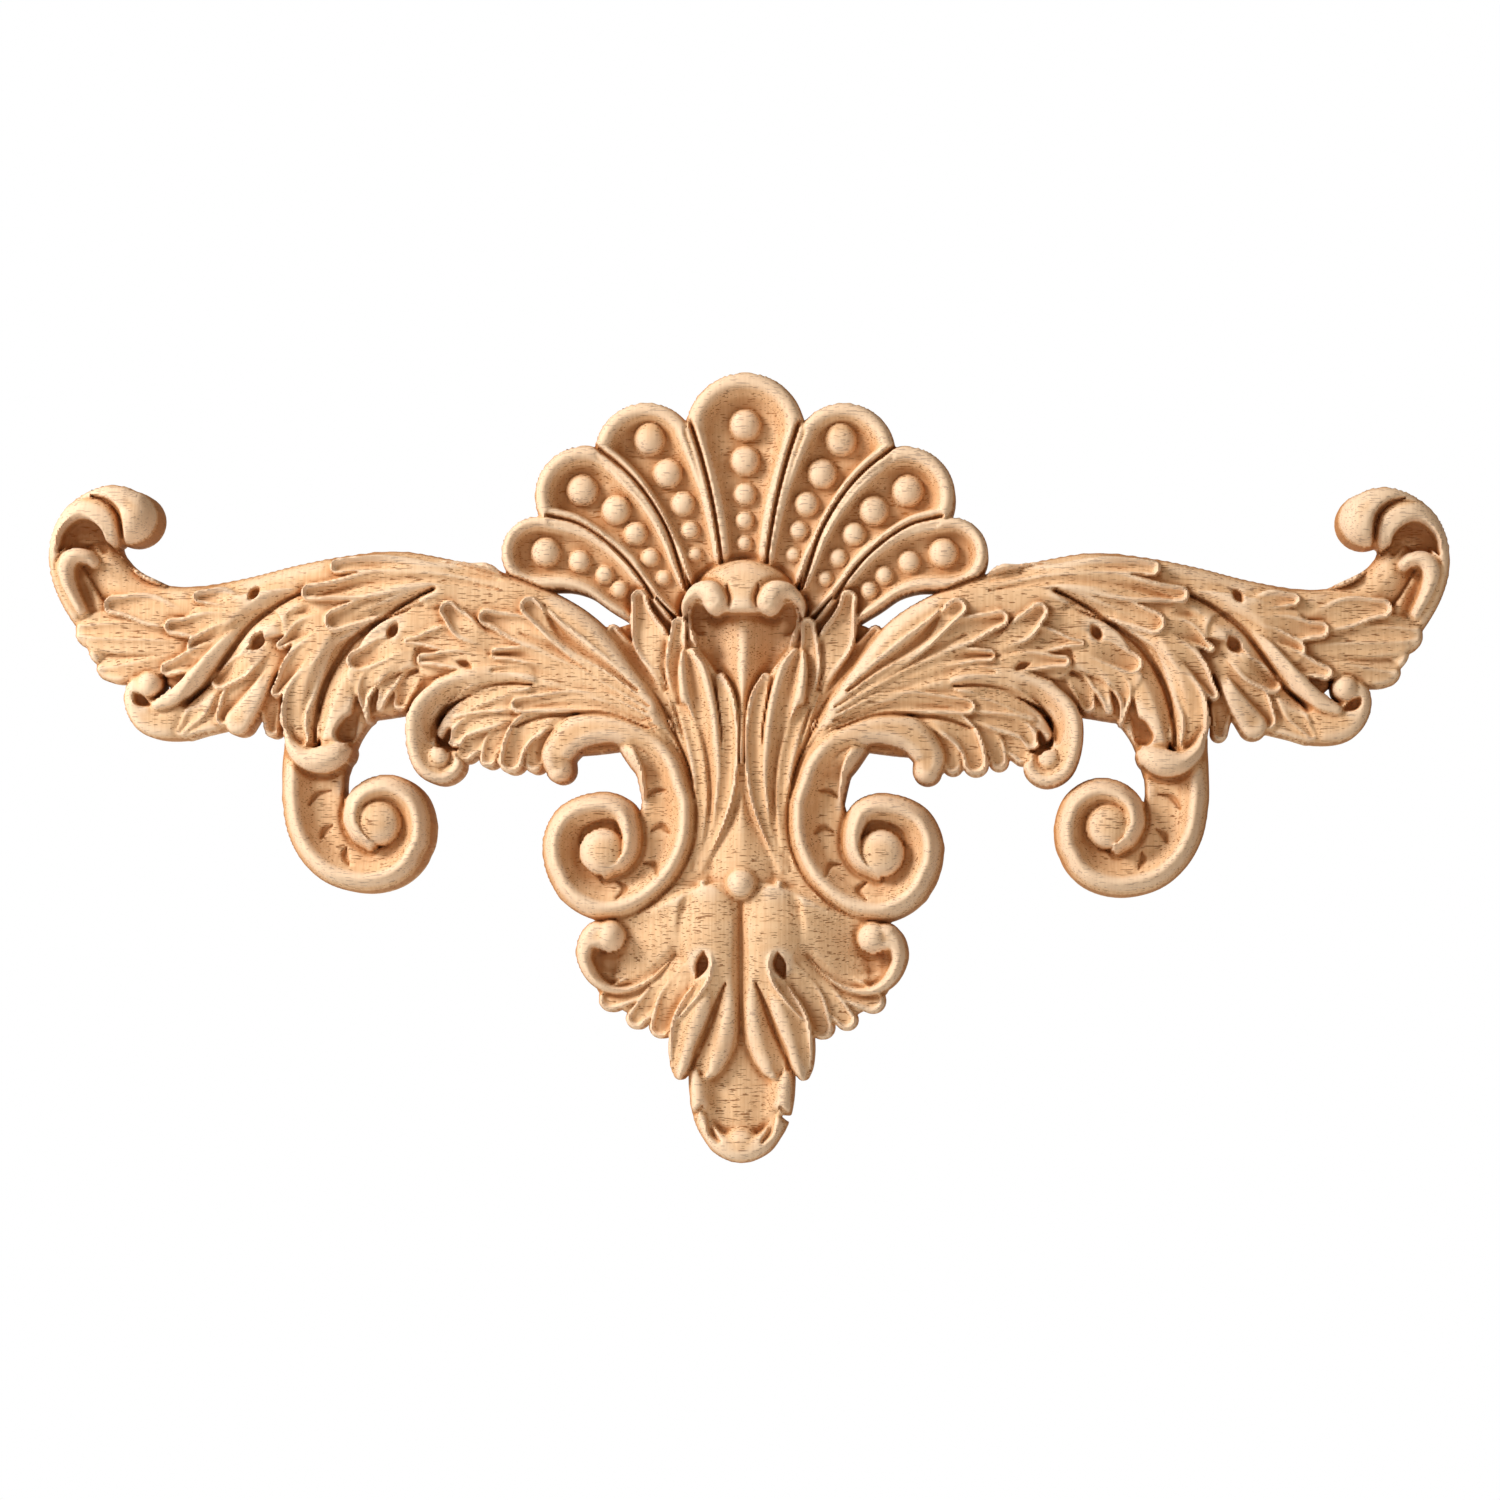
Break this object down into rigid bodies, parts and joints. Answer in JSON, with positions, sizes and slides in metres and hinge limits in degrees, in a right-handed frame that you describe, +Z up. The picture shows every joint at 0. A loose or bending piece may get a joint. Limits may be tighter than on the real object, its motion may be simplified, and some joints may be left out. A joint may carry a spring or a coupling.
{
  "type": "carved wood applique",
  "caption": "Carved wood applique with a flat back: a beaded shell over two leafy scroll arms, four volutes and a leaf drop.",
  "frame": {"origin": "on the flat back, on the mirror line, where the stems of the middle leaves meet above the bead", "axes": "+X to the viewer's right along the length, +Z up, +Y into the surface it is fixed to; the carving faces -Y"},
  "size_m": [0.2816, 0.0191, 0.1585],
  "materials": {
    "pale_wood": "unfinished carved hardwood, matt, short dark pore dashes along the length"
  },
  "bodies": {
    "root": {"carved_applique": "pale_wood"}
  },
  "joints": []
}
